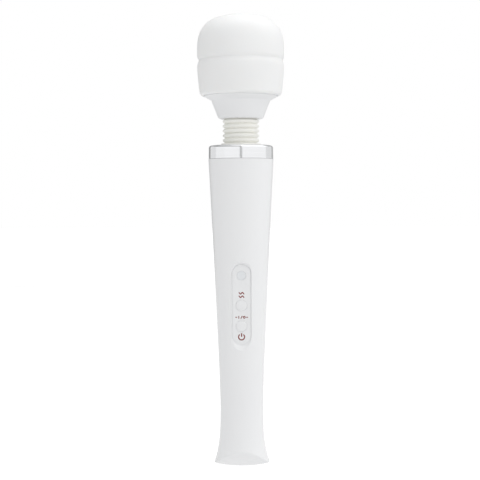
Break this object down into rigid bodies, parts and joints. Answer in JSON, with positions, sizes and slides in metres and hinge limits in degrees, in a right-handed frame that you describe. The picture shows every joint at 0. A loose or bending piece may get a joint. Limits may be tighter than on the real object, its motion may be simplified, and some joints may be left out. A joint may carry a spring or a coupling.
{
  "type": "handheld wand massager",
  "caption": "Cordless handheld wand massager: waisted white handle with recessed push buttons, metal collar, ribbed flexible neck and a soft round vibrating head.",
  "frame": {"origin": "centre of the small flat at the tip of the tail, on the handle's axis", "axes": "+Z along the handle towards the head, -Y out of the face that carries the buttons, +X to the right as seen by someone facing the buttons"},
  "size_m": [0.0616, 0.0616, 0.32],
  "materials": {
    "shell_plastic": "smooth moulded white ABS",
    "satin_plastic": "satin white ABS",
    "cap_silicone": "soft matte white silicone",
    "neck_rubber": "warm white moulded rubber",
    "collar_metal": "bright metal with fine turned lines",
    "steel": "plain steel",
    "weight_steel": "sintered steel",
    "brass": "bright brass",
    "magnet": "sintered ferrite",
    "black_nylon": "black glass-filled nylon",
    "grey_nylon": "grey glass-filled nylon",
    "black_rubber": "black rubber",
    "cell_wrap": "blue heat-shrink film",
    "circuit_green": "green solder resist",
    "copper": "enamelled copper",
    "frosted_lens": "frosted clear plastic",
    "led_resin": "clear resin",
    "red_insulation": "red PVC",
    "black_insulation": "black PVC",
    "red_ink": "printed red ink"
  },
  "bodies": {
    "handle": {"handle_front_shell": "shell_plastic", "handle_rear_shell": "shell_plastic", "end_cap": "shell_plastic", "charge_pin_left": "brass", "charge_pin_right": "brass", "charge_magnet": "magnet", "charge_board": "circuit_green", "battery_cradle": "black_nylon", "battery_cell_lower": "cell_wrap", "battery_cell_upper": "cell_wrap", "motor_lead_black": "black_insulation", "motor_lead_red": "red_insulation", "charge_lead_black": "black_insulation", "charge_lead_red": "red_insulation", "button_panel": "satin_plastic", "indicator_lens": "frosted_lens", "indicator_led": "led_resin", "mode_switch": "grey_nylon", "power_switch": "grey_nylon", "circuit_board": "circuit_green", "board_screw_lower": "steel", "board_screw_upper": "steel", "motor_can": "steel", "motor_magnet_left": "magnet", "motor_magnet_right": "magnet", "motor_end_bell": "black_nylon", "motor_plate": "grey_nylon", "motor_grommet_rear": "black_rubber", "motor_grommet_front": "black_rubber", "motor_screw_left": "steel", "motor_screw_right": "steel", "collar_ring": "collar_metal", "top_cover": "satin_plastic", "spring_seat_lower": "steel"},
    "mode_button": {"mode_button": "satin_plastic", "mode_switch_plunger": "black_nylon"},
    "power_button": {"power_button": "satin_plastic", "power_switch_plunger": "black_nylon"},
    "motor_rotor": {"motor_shaft": "steel", "motor_armature": "copper", "coupling_hub_lower": "weight_steel", "drive_spring": "steel"},
    "neck": {"neck_boot": "neck_rubber", "neck_spring": "steel"},
    "head": {"head_cone": "satin_plastic", "head_cap": "cap_silicone", "head_shell": "grey_nylon", "spring_seat_upper": "steel", "bearing_plate": "grey_nylon", "plate_screw_1": "steel", "plate_screw_2": "steel", "plate_screw_3": "steel", "bearing_lower": "steel", "bearing_upper": "steel"},
    "head_rotor": {"eccentric_shaft": "steel", "coupling_hub_upper": "weight_steel", "shaft_spacer_lower": "brass", "shaft_spacer_upper": "brass", "eccentric_weight": "weight_steel"}
  },
  "joints": [
    {"name": "neck_bend_fore_aft", "type": "hinge", "parent": "handle", "child": "neck", "pos_m": [0, 0, 0.2335], "axis": [1, 0, 0], "range_deg": [-15, 15], "stiffness_Nm_per_rad": 2, "deforming": ["neck_boot", "neck_spring", "drive_spring"]},
    {"name": "neck_bend_sideways", "type": "hinge", "parent": "neck", "child": "head", "pos_m": [0, 0, 0.2405], "axis": [0, 1, 0], "range_deg": [-15, 15], "stiffness_Nm_per_rad": 2, "deforming": ["neck_boot", "neck_spring", "drive_spring"]},
    {"name": "mode_press", "type": "slide", "parent": "handle", "child": "mode_button", "axis": [0, 0.999, 0.0451], "range_m": [0, 0.0005], "stiffness_N_per_m": 1500},
    {"name": "power_press", "type": "slide", "parent": "handle", "child": "power_button", "axis": [0, 0.999, 0.0451], "range_m": [0, 0.0005], "stiffness_N_per_m": 1500},
    {"name": "weight_spin", "type": "hinge", "parent": "head", "child": "head_rotor", "pos_m": [0, 0, 0.285], "axis": [0, 0, 1], "continuous": true},
    {"name": "motor_spin", "type": "hinge", "parent": "handle", "child": "motor_rotor", "pos_m": [0, 0, 0.182], "axis": [0, 0, 1], "continuous": true}
  ],
  "couplings": [
    {"joint": "motor_spin", "follows": "weight_spin", "ratio": 1}
  ]
}
